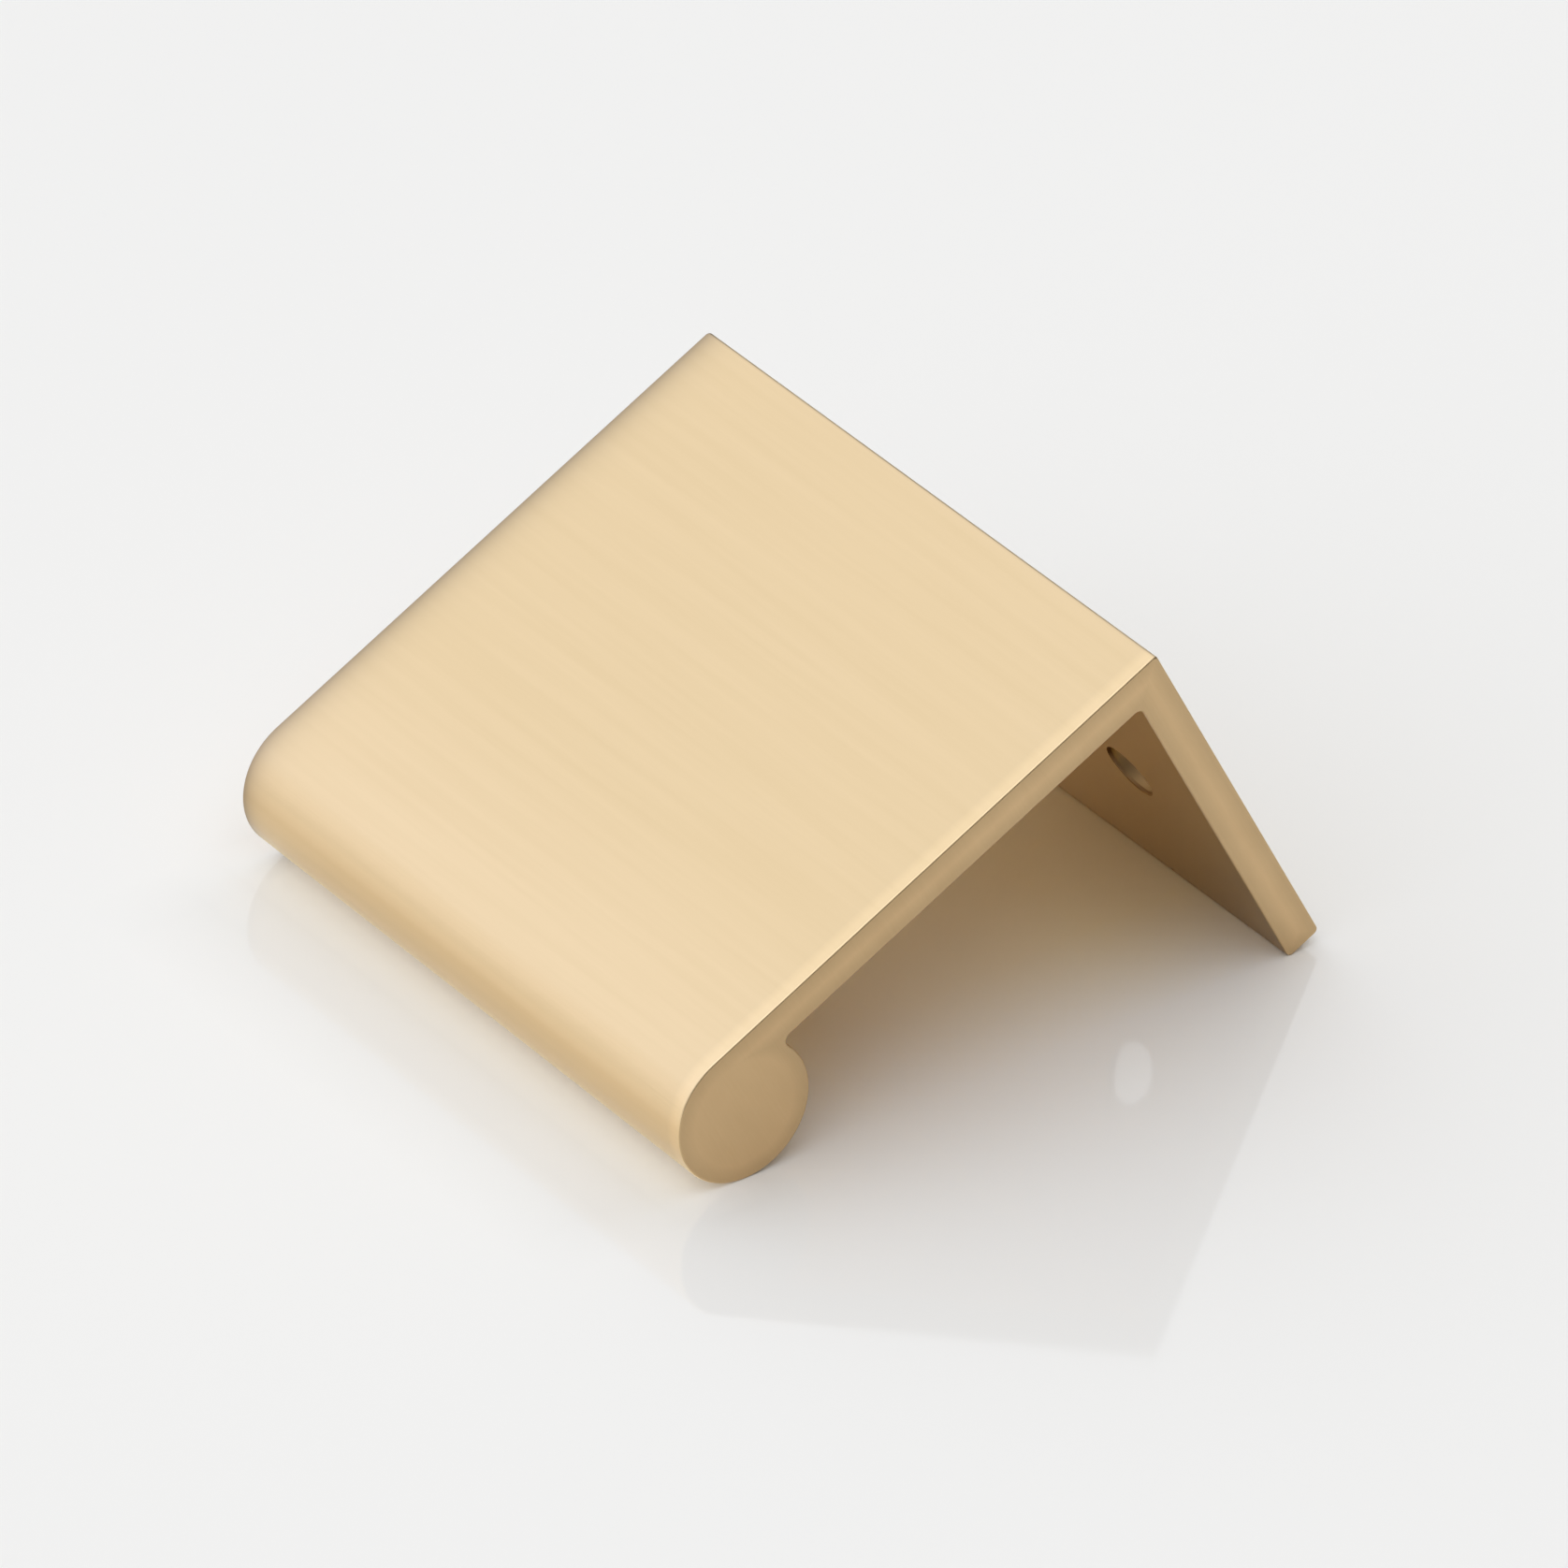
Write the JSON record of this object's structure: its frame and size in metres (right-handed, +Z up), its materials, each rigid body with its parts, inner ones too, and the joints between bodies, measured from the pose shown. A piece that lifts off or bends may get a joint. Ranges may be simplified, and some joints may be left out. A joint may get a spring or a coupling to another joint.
{
  "type": "edge tab pull",
  "caption": "Short L-section brass edge pull: a flat plate with a round bead along its front edge and a leg with countersunk screw holes.",
  "frame": {"origin": "middle of the screw line, on the mounting face of the leg, which goes against the back of the drawer front", "axes": "+X along the cut length, +Z up, -Y towards the bead and the person who pulls"},
  "size_m": [0.038, 0.0341, 0.0227],
  "materials": {
    "brass": "satin, with a fine grain along the length"
  },
  "bodies": {
    "root": {"pull": "brass"}
  },
  "joints": []
}
